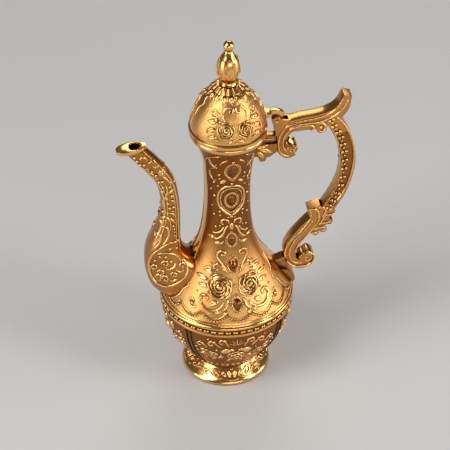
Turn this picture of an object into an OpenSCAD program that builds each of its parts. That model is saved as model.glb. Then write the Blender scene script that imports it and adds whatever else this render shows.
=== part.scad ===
// Footed coffee pot with a slender ewer body, an S-shaped spout, a scrolled
// bow handle and a hinged domed lid. Millimetres, +Z up, the spout on -X and
// the handle on +X. The origin is the centre of the face the pot stands on.

/* [Foot] */
// Radius of the foot's rounded rim
foot_r = 27.2; // [25:0.2:31]
// Height of the foot
foot_h = 9; // [8:0.5:13]
// Radius where the bowl stands on the foot
stem_r = 18.7; // [15:0.1:20]
// Thickness of the closing plate in the underside
plate_t = 1.2; // [0.8:0.1:2]

/* [Body] */
// Wall thickness of the raised body
wall = 1.6; // [1.2:0.1:2.2]
// Height of the bowl, from the foot to the belt joint
bowl_h = 48; // [42:1:56]
// Largest radius of the body, under the belt
belly_r = 39.6; // [37:0.2:44]
// Height of the belt that covers the joint
belt_h = 8; // [6:0.5:11]
// How far the belt's two ridges stand out of the body
belt_out = 1.1; // [0.7:0.1:1.8]
// Height of the shoulder, from the belt joint to the foot of the neck
shoulder_h = 33; // [30:1:38]
// Radius where the shoulder runs into the neck
throat_r = 20.8; // [19:0.1:23]
// Radius of the neck's waist
waist_r = 13.2; // [11.5:0.1:15]
// Height of the neck, from its foot to the mouth ring
neck_h = 87; // [80:1:96]
// Radius of the mouth ring
mouth_r = 22.6; // [21.6:0.1:23.4]
// Height of the mouth ring
mouth_h = 3; // [2.5:0.1:4]
// Width of each raised rib of the panels
rib_w = 1.1; // [0.8:0.1:1.6]
// Height of the panel ribs above the wall
rib_t = 0.7; // [0.4:0.1:1.1]

/* [Spout] */
// Half the width of the spout where it leaves the body
root_w = 14; // [11:0.5:16]
// Half the width of the spout's slender middle
spout_w = 5.6; // [5:0.1:7]
// Wall of the two spout halves
spout_wall = 1.2; // [1:0.1:1.4]
// Radius of the port in the body behind the spout
port_r = 6.5; // [5:0.25:8]
// Radius of the pouring hole in the lip
hole_r = 3.2; // [3.1:0.1:3.6]
// Thickness of the lip plate
lip_t = 2.2; // [1.6:0.1:3]
// Half the width of the lip plate
lip_w = 4.9; // [4.6:0.1:6.4]
// Length of the lip plate
lip_l = 17.6; // [16:0.2:20]

/* [Handle] */
// Thickness of the cast handle
handle_t = 7.2; // [6.4:0.1:9]
// Reach of the handle, from the hinge to the back of the bow
handle_reach = 47.5; // [42:0.5:54]
// Depth of the bead channel in each face of the bow
channel_d = 0.8; // [0.4:0.1:1.2]
// Width of the rims beside the channel
channel_rim = 1.3; // [1:0.1:1.7]
// Thickness of the bracket at the neck
bracket_t = 8; // [6:0.5:10]
// Thickness of the boss on the body
boss_t = 10; // [8:0.5:12]
// How far the boss holds the handle's scroll off the body
boss_out = 7.5; // [6:0.1:9]
// Radius of the two dowels that locate the handle
dowel_r = 1.2; // [0.8:0.1:1.5]

/* [Roses] */
// Height of the roses' bosses on the shoulder
rose_h = 1; // [0.6:0.1:1.3]
// Height of the roses' bosses on the lid
lid_rose_h = 0.8; // [0.5:0.1:1.1]
// Height of the roses' bosses on the bowl
bowl_rose_h = 0.7; // [0.4:0.1:1]

/* [Lid] */
// Height of the dome above the lid's rim
dome_h = 28.6; // [25:0.2:32]
// Height of the lid's rim band
rim_h = 2.5; // [2:0.1:3.2]
// Gap between the closed lid and the mouth ring
lid_gap = 0.3; // [0.2:0.05:0.5]
// Wall of the lid
lid_wall = 1.5; // [1.2:0.1:2]
// Depth of the collar inside the mouth
collar_d = 5; // [3:0.5:6]
// Distance of the hinge from the pot's axis
hinge_x = 27.8; // [27.4:0.1:29]
// Height of the hinge above the lid's rim
hinge_up = 3.4; // [3:0.1:4.4]
// Radius of the hinge pin
pin_r = 1; // [0.8:0.05:1.3]
// Radial running clearance of the pin in the knuckle
pin_clear = 0.05; // [0.02:0.01:0.1]
// Width of the lid's knuckle
knuckle_w = 3; // [2.4:0.1:3.6]
// Outer radius of the knuckle and the handle's ears
knuckle_r = 2.8; // [2.6:0.1:3]

/* [Finial] */
// Height of the finial's stem and bulb
finial_h = 23.2; // [19:0.2:26]
// Radius of the finial's bulb
bulb_r = 6.55; // [5.4:0.05:7.4]
// Radius of the ball at the top
ball_r = 3.1; // [2.2:0.05:3.6]
// Number of pleats of the collar under the finial
pleats = 16; // [10:1:20]
// Radius of the threaded studs
stud_r = 1.9; // [1.5:0.1:2.2]

/* [Hidden] */
$fn = 96;
// solder gap between curved faces of fixed pieces
fit = 0.06;
// clearance between moving pieces
clear = 0.3;
z_stem = foot_h;
z_joint = z_stem + bowl_h;
z_throat = z_joint + shoulder_h;
z_mouth = z_throat + neck_h;
z_lid = z_mouth + mouth_h + lid_gap;
z_dome = z_lid + rim_h + 1;
z_top = z_lid + rim_h + dome_h;
z_hinge = z_lid + hinge_up;
// radius of the seat under the belt
seat_r = belly_r - 1;
belt_lo = z_joint - belt_h / 2;
belt_hi = z_joint + belt_h / 2;
slot_w = knuckle_w + 0.5;
slot_r = hinge_up + 3.8;
ledge_r = stem_r + 1;
gold = [0.86, 0.62, 0.24];
bright = [0.93, 0.71, 0.33];
steel = [0.70, 0.68, 0.62];

// cubic curves -------------------------------------------------------------
function bez(P, t) = pow(1 - t, 3) * P[0] + 3 * pow(1 - t, 2) * t * P[1]
  + 3 * (1 - t) * t * t * P[2] + pow(t, 3) * P[3];
function dbez(P, t) = pow(1 - t, 2) * (P[1] - P[0])
  + 2 * (1 - t) * t * (P[2] - P[1]) + t * t * (P[3] - P[2]);
// points of a profile curve, moved by d towards the axis
function curve(P, n, d = 0, a = 0, b = 1) = [for (i = [0:n])
  let (t = a + (b - a) * i / n, q = bez(P, t), u = dbez(P, t) / norm(dbez(P, t)))
  q + d * [-u[1], u[0]]];
function flip(L) = [for (i = [len(L) - 1:-1:0]) L[i]];
// a smooth line through key points
function cr(a, b, c, d, t) = 0.5 * (2 * b + (c - a) * t
  + (2 * a - 5 * b + 4 * c - d) * t * t + (3 * b - a - 3 * c + d) * t * t * t);
function spline(K, m) = concat([for (i = [0:len(K) - 2]) for (j = [0:m - 1])
  cr(K[max(i - 1, 0)], K[i], K[i + 1], K[min(i + 2, len(K) - 1)], j / m)],
  [K[len(K) - 1]]);

// profiles of the body: [radius, height] -----------------------------------
BOWL = [[stem_r, z_stem], [stem_r + 7.3, z_stem + bowl_h * 0.17],
  [belly_r - 0.3, belt_lo - bowl_h * 0.38], [belly_r, belt_lo]];
SHOULDER = [[belly_r, belt_hi],
  [belly_r - 5.2, belt_hi + (z_throat - belt_hi) * 0.31],
  [throat_r + 4.3, z_throat - (z_throat - belt_hi) * 0.28], [throat_r, z_throat]];
z_waist = z_throat + neck_h * 0.56;
NECK_LO = [[throat_r, z_throat], [throat_r - 5.2, z_throat + neck_h * 0.12],
  [waist_r, z_waist - neck_h * 0.29], [waist_r, z_waist]];
NECK_HI = [[waist_r, z_waist], [waist_r, z_waist + neck_h * 0.19],
  [waist_r + 2.8, z_mouth - neck_h * 0.065], [mouth_r - 0.8, z_mouth]];
DOME = [[mouth_r - 0.7, z_dome], [mouth_r - 0.7, z_dome + dome_h * 0.34],
  [mouth_r - 8.6, z_top - dome_h * 0.18], [5, z_top]];

// a rose's low boss: a sphere of radius r that stands h out of the profile P
// at t, turned by a from the front
module rose_boss(P, t, a, r, h) {
  q = bez(P, t);
  d = dbez(P, t) / norm(dbez(P, t));
  rotate([0, 0, a - 90])
    translate([q[0] - (r - h) * d[1], 0, q[1] + (r - h) * d[0]]) sphere(r = r);
}

module turn(pts) {
  rotate_extrude() polygon(pts);
}

// the outside of the body, grown by g, as a solid
module body_form(g) {
  turn(concat([[0, z_stem]], curve(BOWL, 10, -g), curve(SHOULDER, 8, -g),
    curve(NECK_LO, 8, -g, 0.1, 1), curve(NECK_HI, 8, -g, 0.1, 1), [[0, z_mouth]]));
}

// foot ---------------------------------------------------------------------
module foot() {
  z1 = 3;
  top = foot_h - 1.6;
  color(gold) difference() {
    turn([[foot_r - 2.7, 0], [foot_r - 1.2, 0], [foot_r - 0.4, 0.4],
      [foot_r, 1.2], [foot_r - 0.1, 2], [foot_r - 0.8, z1],
      [foot_r - 2.6, z1 + (foot_h - z1) * 0.22],
      [foot_r - 4.6, z1 + (foot_h - z1) * 0.5],
      [ledge_r + 0.7, foot_h - 0.7], [ledge_r, foot_h], [0, foot_h], [0, top],
      [stem_r - 1.2, top], [foot_r - 6.2, z1 + (foot_h - z1) * 0.3],
      [foot_r - 3.6, plate_t + 1], [foot_r - 3.6, plate_t], [foot_r - 2.7, plate_t]]);
    translate([0, 0, top - 1]) cylinder(r = stud_r + fit, h = 4);
  }
}

// plate that closes the underside
module base_plate() {
  color(bright) cylinder(r = foot_r - 2.7 - fit, h = plate_t);
}

// bolt from inside the bowl that draws the foot up
module foot_bolt() {
  color(steel) union() {
    translate([0, 0, z_stem + wall]) cylinder(r = 2 * stud_r, h = 1.6);
    translate([0, 0, plate_t + 0.6])
      cylinder(r = stud_r, h = z_stem + wall - plate_t - 0.5);
  }
}

module hex_nut(r, h, bore) {
  difference() {
    cylinder(r = r, h = h, $fn = 6);
    translate([0, 0, -1]) cylinder(r = bore, h = h + 2);
  }
}

module foot_nut() {
  color(steel) translate([0, 0, foot_h - 1.6 - 2.6])
    hex_nut(stud_r * 1.9, 2.6, stud_r + fit);
}

// bead ring that covers the joint of foot and bowl
module foot_ring() {
  color(bright) rotate_extrude() difference() {
    translate([stem_r - 0.2, z_stem + 0.9]) circle(r = 1.1, $fn = 24);
    translate([0, z_stem - 4]) square([ledge_r + 4, 4]);
    polygon(concat([[0, z_stem - 1], [stem_r - 1 + fit, z_stem - 1]],
      [[stem_r - 1 + fit, z_stem + 1]], curve(BOWL, 10, -fit, 0.05, 0.4),
      [[0, z_stem + bowl_h * 0.3]]));
  }
}

// bowl with four panels edged by pairs of ribs ------------------------------
module bowl_skin(d) {
  polygon(concat([[0, z_stem], [stem_r - 1, z_stem], [stem_r - 1, z_stem + 1]],
    curve(BOWL, 12, -d, 0.06, 1), [[0, belt_lo]]));
}

module bowl() {
  color(gold) difference() {
    union() {
      rotate_extrude() bowl_skin(0);
      translate([0, 0, belt_lo - 1]) cylinder(r = seat_r, h = z_joint - belt_lo + 1);
      intersection() {
        turn(concat([[0, z_stem + 4]], curve(BOWL, 10, -rib_t, 0.22, 0.97),
          [[0, belt_lo - 1]]));
        for (a = [45:90:315], s = [-1, 1]) rotate([0, 0, a])
          translate([0, s * 1.5 - rib_w / 2, 0]) cube([belly_r + 4, rib_w, z_joint]);
      }
      for (a = [0:90:270]) {
        rose_boss(BOWL, 0.64, a, 11 * u, bowl_rose_h);
        for (s = [-1, 1]) rose_boss(BOWL, 0.68, a + s * 21, 8 * u, bowl_rose_h * 0.9);
      }
    }
    translate([0, 0, -1]) cylinder(r = foot_r + 20, h = z_stem + 1);
    turn(concat([[0, z_stem + wall], [stem_r - wall - 1, z_stem + wall]],
      curve(BOWL, 10, wall, 0.14, 0.94),
      [[seat_r - wall, belt_lo - 0.5], [seat_r - wall, z_joint + 1], [0, z_joint + 1]]));
    translate([0, 0, z_stem - 1]) cylinder(r = stud_r + fit, h = 4);
  }
}

// belt ring over the joint of the two body shells
module belt_ring() {
  e = belt_h / 2 - 1.4;
  color(bright) rotate_extrude() union() {
    translate([seat_r + fit, belt_lo]) square([belly_r - seat_r - fit, belt_h]);
    for (s = [-1, 1]) intersection() {
      translate([belly_r - 0.3, z_joint + s * e]) circle(r = belt_out + 0.3, $fn = 24);
      translate([seat_r + fit, belt_lo]) square([10, belt_h]);
    }
  }
}

// shoulder and neck in one shell, with the port to the spout ----------------
module upper_body() {
  zp = z_joint + shoulder_h * 0.6;
  color(gold) difference() {
    union() {
      turn(concat([[0, belt_hi]], curve(SHOULDER, 8), curve(NECK_LO, 8, 0, 0.1, 1),
        curve(NECK_HI, 8, 0, 0.1, 1), [[0, z_mouth]]));
      translate([0, 0, z_joint]) cylinder(r = seat_r, h = belt_h / 2 + 0.5);
      for (s = [0, 180]) {
        rose_boss(SHOULDER, 0.7, s - 20, 14 * u, rose_h);
        rose_boss(SHOULDER, 0.68, s + 23, 13 * u, rose_h);
        rose_boss(NECK_LO, 0.08, s, 4 * u, rose_h * 0.8);
        rose_boss(SHOULDER, 0.4, s + 1, 5.5 * u, rose_h * 0.8);
      }
    }
    turn(concat([[0, z_joint - 1], [seat_r - wall, z_joint - 1],
      [seat_r - wall, belt_hi]], curve(SHOULDER, 8, wall, 0.08, 1),
      curve(NECK_LO, 8, wall, 0.1, 1), curve(NECK_HI, 8, wall, 0.1, 0.98),
      [[mouth_r - 0.8 - wall, z_mouth + 1], [0, z_mouth + 1]]));
    translate([-belly_r - 5, 0, zp]) rotate([0, 90, 0])
      cylinder(r = port_r, h = belly_r + 5 - waist_r);
  }
}

// ring round the mouth that the lid closes on
module mouth_ring() {
  color(bright) rotate_extrude() difference() {
    union() {
      translate([mouth_r - 3.1, z_mouth]) square([2.3, mouth_h]);
      translate([mouth_r - 1.2, z_mouth]) square([0.6, mouth_h]);
      translate([mouth_r - mouth_h / 2 + 0.6, z_mouth + mouth_h / 2]) scale([0.5, 1])
        circle(r = mouth_h / 2, $fn = 24);
    }
    translate([mouth_r, z_mouth - 1]) square([5, mouth_h + 2]);
  }
}

// spout --------------------------------------------------------------------
// a point of the spout's side drawing: x from the belly, z from the belt
z_lipseat = z_mouth - 5.2;
function sp(x, z) = [-belly_r * (1 + x / 39.6), belt_hi + z * (z_lipseat - belt_hi) / 110.8];
// stations along the S: outer edge, inner edge, half width
SPOUT = [
  [sp(-3.6, -1), sp(-26, 25), root_w],
  [sp(6.6, 9.3), sp(-16.6, 30.5), root_w - 0.5],
  [sp(10.2, 22), sp(-12.8, 36), root_w - 2.5],
  [sp(9.1, 38), sp(-11.4, 45.5), (root_w + spout_w) / 2],
  [sp(1.6, 56.6), sp(-11.5, 57.9), spout_w + 1.2],
  [sp(0, 70.8), sp(-11, 71.7), spout_w + 0.2],
  [sp(2.9, 85.4), sp(-8.2, 87), spout_w - 0.3],
  [sp(10.6, 97), sp(-1, 99.5), spout_w - 0.6],
  [sp(20.2, 109.2), sp(8.2, 110.8), spout_w - 0.9]];
// one station: points round half the wall, d inside the outer skin
arc_n = 9;
function station(S, d) = let (o = S[0], i = S[1], c = (o + i) / 2,
  u = (o - i) / norm(o - i), a = norm(o - i) / 2 - d, w = S[2] - d)
  [for (k = [0:arc_n]) let (t = 180 * k / arc_n, p = 2 / 2.7,
    e = (abs(cos(t)) < 0.001 ? 0 : sign(cos(t))) * pow(abs(cos(t)), p) * a,
    y = (k == 0 || k == arc_n) ? 0 : -w * pow(abs(sin(t)), p))
    [c[0] + u[0] * e, y, c[1] + u[1] * e]];
spout_rows = [for (i = [0:len(SPOUT) - 2]) for (j = [0:3]) let (t = j / 4,
  A = SPOUT[max(i - 1, 0)], B = SPOUT[i], C = SPOUT[i + 1],
  D = SPOUT[min(i + 2, len(SPOUT) - 1)])
  [cr(A[0], B[0], C[0], D[0], t), cr(A[1], B[1], C[1], D[1], t),
   cr(A[2], B[2], C[2], D[2], t)]];
SROWS = concat(spout_rows, [SPOUT[len(SPOUT) - 1]]);

module spout_half_form() {
  m = arc_n + 1;
  n = len(SROWS);
  P = [for (r = SROWS) each concat(station(r, 0), station(r, spout_wall))];
  function id(r, side, k) = r * 2 * m + side * m + k;
  skin = [for (r = [0:n - 2]) for (k = [0:arc_n - 1])
    [id(r, 0, k), id(r, 0, k + 1), id(r + 1, 0, k + 1), id(r + 1, 0, k)]];
  bore = [for (r = [0:n - 2]) for (k = [0:arc_n - 1])
    [id(r, 1, k + 1), id(r, 1, k), id(r + 1, 1, k), id(r + 1, 1, k + 1)]];
  seam = [for (r = [0:n - 2]) each [
    [id(r, 1, 0), id(r, 0, 0), id(r + 1, 0, 0), id(r + 1, 1, 0)],
    [id(r, 0, arc_n), id(r, 1, arc_n), id(r + 1, 1, arc_n), id(r + 1, 0, arc_n)]]];
  ends = [for (k = [0:arc_n - 1]) each [
    [id(0, 1, k), id(0, 1, k + 1), id(0, 0, k + 1), id(0, 0, k)],
    [id(n - 1, 0, k), id(n - 1, 0, k + 1), id(n - 1, 1, k + 1), id(n - 1, 1, k)]]];
  polyhedron(P, concat(skin, bore, seam, ends), convexity = 8);
}

module spout_near_half() {
  color(gold) difference() {
    spout_half_form();
    body_form(fit);
  }
}

module spout_far_half() {
  color(gold) mirror([0, 1, 0]) difference() {
    spout_half_form();
    body_form(fit);
  }
}

// lip plate with the pouring hole, square to the end of the spout
lip_tilt = atan2(SPOUT[8][1][1] - SPOUT[8][0][1], SPOUT[8][1][0] - SPOUT[8][0][0]);
module spout_lip() {
  e = SPOUT[8][1];
  color(bright) translate([e[0], 0, e[1]]) rotate([0, -lip_tilt, 0])
    difference() {
      linear_extrude(lip_t) polygon(concat(
        [for (k = [0:12]) let (t = 180 * k / 12)
          [-lip_l / 2 + lip_l / 2 * cos(t) + 0.6, lip_w * pow(sin(t), 0.8)]],
        [for (k = [11:-1:1]) let (t = 180 * k / 12)
          [-lip_l / 2 + lip_l / 2 * cos(t) + 0.6, -lip_w * pow(sin(t), 0.8)]]));
      translate([-6.2, 0, -1]) cylinder(r = hole_r, h = lip_t + 2);
    }
}

// handle -------------------------------------------------------------------
// the drawing's place: x out from the hinge, z down from the hinge
z_low = z_joint + shoulder_h * 0.62;
u = handle_reach / 47.5;
function hx(x) = hinge_x + x * u;
function hz(z) = z_hinge - z * (z_hinge - z_low) / 106.4;
// the low end keeps its distance from the body, so the bow leans with it
body_low = lookup(z_low, [for (p = curve(SHOULDER, 24)) [p[1], p[0]]]);
seat_lo = body_low + boss_out;
lean = seat_lo - hx(8.4);
function key(x, z, w) = [hx(x) + lean * pow(max(z, 0) / 106.4, 2), hz(z), w * u];
BOW = [key(32.7, 2.4, 4.2), key(38.4, 12.9, 4.6), key(41.8, 23.6, 4.6),
  key(43.2, 34.9, 4.35), key(42.1, 45.9, 3.9), key(38.9, 56.4, 3.95),
  key(34, 65.9, 3.9), key(29.2, 73.9, 4.6), key(23.2, 79.9, 4.6),
  key(17.4, 85.9, 4), key(12.5, 92.4, 3.7), key(10.2, 99.9, 3.5),
  key(11.5, 106.6, 3.3), key(16, 110.3, 3.2), key(21.2, 108.9, 3.2),
  key(22.4, 104.1, 2.9), key(19.6, 101.9, 2.3)];
STRIP = [key(0.4, 1.6, 3), key(8.2, 4.3, 3.9), key(16.2, 3.6, 4.5),
  key(24.2, 3, 4.8), key(30.2, 1.4, 4.7), key(35.7, -2.1, 4.1),
  key(38.7, -6.3, 3.6), key(39.9, -10.2, 3), key(41, -13.7, 2.4)];
STEM = [key(1.6, 2.4, 2.9), key(2.3, 8, 2.9), key(2.2, 14.7, 2.9),
  key(3.3, 20.9, 2.8), key(6.8, 24.8, 2.6), key(10.7, 23.6, 2.3)];
ARCH = [key(3.4, 14, 2.6), key(4.8, 9, 3), key(8.6, 5.6, 3.2), key(14, 4.6, 3)];
// leaves: root, middle and tip
LEAVES = [
  [key(29, 72, 3.2), key(33.2, 71.6, 2.8), key(36.6, 72.6, 1.4)],
  [key(27, 76, 3.2), key(31.6, 78.2, 2.8), key(35.4, 79.3, 1.4)],
  [key(24, 79, 3.2), key(28.6, 83.2, 2.7), key(31.8, 85.8, 1.3)],
  [key(21, 81, 3), key(24.6, 85.4, 2.4), key(26.8, 88, 1.2)],
  [key(27, 77, 3.4), key(25.2, 71.5, 4.2), key(23.9, 67, 4)]];

// the balls that end the scrolls, and the lobe under the strip
EYES = [key(10, 20.8, 2.8), key(18.4, 105, 2.6), key(26.2, 8.4, 3),
  key(20.6, 6.2, 2.6)];

module ribbon(K, m, g = 0) {
  S = spline(K, m);
  n = len(S) - 1;
  N = [for (i = [0:n]) let (a = S[max(i - 1, 0)], b = S[min(i + 1, n)],
    u = [b[0] - a[0], b[1] - a[1]]) [-u[1], u[0]] / norm(u)];
  polygon(concat([for (i = [0:n]) [S[i][0], S[i][1]] + N[i] * (S[i][2] - g)],
    [for (i = [n:-1:0]) [S[i][0], S[i][1]] - N[i] * (S[i][2] - g)]));
}

module handle_outline() {
  ribbon(BOW, 3);
  ribbon(STRIP, 3);
  ribbon(STEM, 3);
  ribbon(ARCH, 3);
  for (L = LEAVES) ribbon(L, 3);
  for (e = EYES) translate([e[0], e[1]]) circle(r = e[2], $fn = 12);
}

// stands a side drawing up in the XZ plane, centred on y = 0
module plate_xz(t) {
  translate([0, t / 2, 0]) rotate([90, 0, 0]) linear_extrude(t) children();
}

z_dowel_hi = hz(18);
z_dowel_lo = hz(106.4);
seat_hi = hx(0.5);
seat_lo_z = [hz(111.4), hz(103.4)];

module dowel_hole(x, z, l) {
  translate([x, 0, z]) rotate([0, 90, 0]) cylinder(r = dowel_r + 0.02, h = l);
}

module handle() {
  inner = [for (i = [1:6]) BOW[i]];
  color(gold) difference() {
    union() {
      plate_xz(handle_t) handle_outline();
      translate([hinge_x, handle_t / 2, z_hinge]) rotate([90, 0, 0])
        cylinder(r = knuckle_r, h = handle_t);
    }
    for (s = [-1, 1]) translate([0, s * handle_t / 2, 0])
      plate_xz(channel_d * 2) ribbon(inner, 3, channel_rim);
    // slot for the lid's leaf, and the pin's bore
    translate([hinge_x, slot_w / 2, z_hinge]) rotate([90, 0, 0])
      cylinder(r = slot_r, h = slot_w);
    translate([hinge_x, handle_t, z_hinge]) rotate([90, 0, 0])
      cylinder(r = pin_r, h = 2 * handle_t);
    // flat seats against the bracket and the boss
    translate([seat_hi - 20 * u, -handle_t, z_dowel_hi - 6 * u])
      cube([20 * u, 2 * handle_t, 13.6 * u]);
    translate([seat_lo - 20 * u, -handle_t, seat_lo_z[0]])
      cube([20 * u, 2 * handle_t, seat_lo_z[1] - seat_lo_z[0]]);
    dowel_hole(seat_hi - 1, z_dowel_hi, 4 * u);
    dowel_hole(seat_lo - 1, z_dowel_lo, 5 * u);
  }
}

module handle_dowels() {
  color(steel) union() {
    translate([seat_hi - 5 * u, 0, z_dowel_hi]) rotate([0, 90, 0])
      cylinder(r = dowel_r, h = 8 * u);
    translate([seat_lo - 3 * u, 0, z_dowel_lo]) rotate([0, 90, 0])
      cylinder(r = dowel_r, h = 7 * u);
  }
}

// stepped bracket between the neck and the handle's stem
module neck_bracket() {
  x = seat_hi;
  z = z_dowel_hi;
  color(bright) difference() {
    union() {
      plate_xz(bracket_t) polygon([[waist_r, z - 5 * u], [x - 8 * u, z - 7.4 * u],
        [x - 4 * u, z - 6.6 * u], [x, z - 3.4 * u], [x, z + 2.4 * u],
        [waist_r, z + 2.4 * u]]);
      plate_xz(bracket_t * 0.62) polygon([[waist_r, z], [x, z], [x, z + 6 * u],
        [x - 1.2 * u, z + 7 * u], [waist_r, z + 7 * u]]);
      translate([x - 8.4 * u, bracket_t / 2, z - 7.6 * u]) rotate([90, 0, 0])
        cylinder(r = 2.2 * u, h = bracket_t);
    }
    body_form(fit);
    dowel_hole(x - 5.2 * u, z, 8 * u);
  }
}

// leaf-shaped boss on the body under the handle's lower scroll
module handle_boss() {
  x = seat_lo;
  z = z_dowel_lo;
  color(bright) difference() {
    union() {
      plate_xz(boss_t * 0.6) polygon([[x - 12 * u, z - 2 * u], [x - 6 * u, z + u],
        [x - 2.4 * u, z + 2.6 * u], [x, seat_lo_z[1] - 0.8 * u],
        [x, seat_lo_z[0]], [x + u, z - 6.4 * u], [x + 3.4 * u, z - 9.2 * u],
        [x - 12 * u, z - 9 * u]]);
      plate_xz(boss_t) polygon([[x - 8 * u, z - 5 * u], [x, z - 6 * u],
        [x + 3.4 * u, z - 9.2 * u], [x + 5.2 * u, z - 12.4 * u],
        [x + 5.2 * u, z - 14.6 * u], [x + 3.8 * u, belt_hi], [x - 8 * u, belt_hi]]);
    }
    body_form(fit);
    dowel_hole(x - 3.2 * u, z, 8 * u);
  }
}

// hinge and lid -------------------------------------------------------------
module hinge_pin() {
  color(steel) translate([hinge_x, handle_t / 2 + 0.4, z_hinge])
    rotate([90, 0, 0]) cylinder(r = pin_r, h = handle_t + 0.8);
}

// leaf from the dome to the hinge, with its knuckle
module lid_leaf() {
  color(bright) difference() {
    union() {
      plate_xz(knuckle_w) polygon([[mouth_r - 4, z_hinge + 3], [mouth_r + 1.5, z_hinge + 3.2],
        [hinge_x - knuckle_r * 0.95, z_hinge + 0.8], [hinge_x, z_hinge - 1],
        [hinge_x + knuckle_r * 0.9, z_hinge + 0.8], [hinge_x + 5.2, z_hinge + 2.7],
        [hinge_x + 4.2, z_hinge + 4.6], [hinge_x + 2.6, z_hinge + 5.7],
        [hinge_x - 0.2, z_hinge + 6.3], [hinge_x - 2.6, z_hinge + 6.1],
        [mouth_r + 0.6, z_hinge + 5.4], [mouth_r - 4, z_hinge + 6.2]]);
      plate_xz(handle_t) polygon([[mouth_r - 4, z_hinge + knuckle_r + 0.5],
        [hinge_x - knuckle_r - 0.4, z_hinge + knuckle_r + 0.6],
        [hinge_x - knuckle_r - 0.4, z_hinge + 5.9],
        [mouth_r + 0.6, z_hinge + 5.4], [mouth_r - 4, z_hinge + 6.2]]);
      translate([hinge_x, knuckle_w / 2, z_hinge]) rotate([90, 0, 0])
        cylinder(r = knuckle_r, h = knuckle_w);
    }
    translate([hinge_x, 20, z_hinge]) rotate([90, 0, 0])
      cylinder(r = pin_r + pin_clear, h = 40);
    turn(concat([[0, z_lid]], [[mouth_r + fit, z_lid], [mouth_r + fit, z_dome]],
      curve(DOME, 12, -fit), [[0, z_top + fit]]));
  }
}

module lid_dome() {
  zi = z_top - lid_wall;
  color(gold) difference() {
    union() {
      turn(concat([[0, z_lid], [mouth_r - 0.4, z_lid], [mouth_r, z_lid + 0.4],
      [mouth_r + 0.1, z_lid + rim_h / 2], [mouth_r, z_lid + rim_h - 0.4],
      [mouth_r - 0.5, z_lid + rim_h], [mouth_r - 1.1, z_lid + rim_h + 0.3]],
      curve(DOME, 12), [[0, z_top]]));
      for (s = [0, 180]) for (a = [-14, 20.5])
        rose_boss(DOME, 0.27, s + a, 8.3 * u, lid_rose_h);
    }
    turn(concat([[0, z_lid - 1], [mouth_r - 1.9, z_lid - 1],
      [mouth_r - 1.9, z_lid + rim_h]], curve(DOME, 10, lid_wall, 0.04, 0.86),
      [[4.4, zi], [0, zi]]));
    translate([0, 0, z_top - 5]) cylinder(r = stud_r + fit, h = 10);
  }
}

// collar under the lid that steadies it in the mouth
module lid_collar() {
  ro = mouth_r - 4.8;
  color(bright) difference() {
    union() {
      translate([0, 0, z_lid - collar_d]) cylinder(r = ro, h = collar_d + 2);
      translate([0, 0, z_lid + 0.8]) cylinder(r = mouth_r - 1.9 - fit, h = 1.2);
    }
    translate([0, 0, z_lid - collar_d - 1]) cylinder(r = ro - 1.2, h = collar_d + 4);
  }
}

// finial -------------------------------------------------------------------
FINIAL = [[4.7, 1], [4.2, 2.2], [4.8, 3.9], [bulb_r * 0.9, 6.1],
  [bulb_r * 0.99, 9], [bulb_r, 11.2], [bulb_r * 0.92, 14], [bulb_r * 0.78, 16.8],
  [bulb_r * 0.53, 19.4], [2.4, 21.3], [2.2, 22.3]];
module finial() {
  k = finial_h / 22.6;
  color(bright) translate([0, 0, z_top]) union() {
    turn(concat([[0, 0], [4.6, 0], [4.9, 0.6]],
      [for (p = spline(FINIAL, 3)) [p[0], p[1] * k]], [[0, 22.3 * k]]));
    translate([0, 0, 22.3 * k + ball_r * 0.85]) sphere(r = ball_r);
    translate([0, 0, -6.2]) cylinder(r = stud_r, h = 6.3);
  }
}

// pleated collar round the top of the dome
module finial_collar() {
  step = 360 / pleats;
  color(bright) difference() {
    turn(concat(curve(DOME, 5, -fit, 0.86, 1),
      flip(curve(DOME, 5, -1.2, 0.85, 0.97))));
    for (i = [0:pleats - 1]) rotate([0, 0, (i + 0.5) * step])
      translate([5.6, 0, z_top + 1.3]) rotate([0, 127, 0])
        cylinder(r1 = 0.5, r2 = 1.5, h = 9, $fn = 24);
  }
}

module finial_nut() {
  color(steel) translate([0, 0, z_top - lid_wall - 2.4])
    hex_nut(stud_r * 1.8, 2.4, stud_r + fit);
}

base_plate();
foot();
foot_bolt();
foot_nut();
foot_ring();
bowl();
belt_ring();
upper_body();
mouth_ring();
spout_near_half();
spout_far_half();
spout_lip();
neck_bracket();
handle_boss();
handle_dowels();
handle();
hinge_pin();
lid_dome();
lid_collar();
lid_leaf();
finial();
finial_collar();
finial_nut();
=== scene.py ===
# %% [markdown]
# # A gilded coffee pot, dressed over its real parts
# The pot arrives as separate solids: foot, bowl, belt, upper body, spout halves,
# handle, lid and finial. They already have the right size and place. What they
# lack is the jeweller's work: roses, scrolls, leaves, lines of tiny beads and
# the gilding itself. Each of those gets a step of its own here.

# %% Load the parts and keep their box
import math
import bpy
import bmesh
from mathutils import Vector, Matrix
from mathutils.bvhtree import BVHTree


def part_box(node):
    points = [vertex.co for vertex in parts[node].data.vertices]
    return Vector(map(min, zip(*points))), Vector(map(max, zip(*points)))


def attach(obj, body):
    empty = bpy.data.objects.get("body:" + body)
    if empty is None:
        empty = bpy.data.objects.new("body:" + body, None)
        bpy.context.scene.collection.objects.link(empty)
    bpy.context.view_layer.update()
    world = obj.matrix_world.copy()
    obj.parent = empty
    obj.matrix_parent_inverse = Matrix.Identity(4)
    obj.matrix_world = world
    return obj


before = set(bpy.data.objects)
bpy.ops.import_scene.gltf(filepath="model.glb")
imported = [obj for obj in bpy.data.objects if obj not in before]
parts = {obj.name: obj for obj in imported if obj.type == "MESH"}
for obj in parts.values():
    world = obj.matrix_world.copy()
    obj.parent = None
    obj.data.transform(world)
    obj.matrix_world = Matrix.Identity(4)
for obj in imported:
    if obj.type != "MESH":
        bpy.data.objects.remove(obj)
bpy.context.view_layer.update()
MM = 0.001

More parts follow.
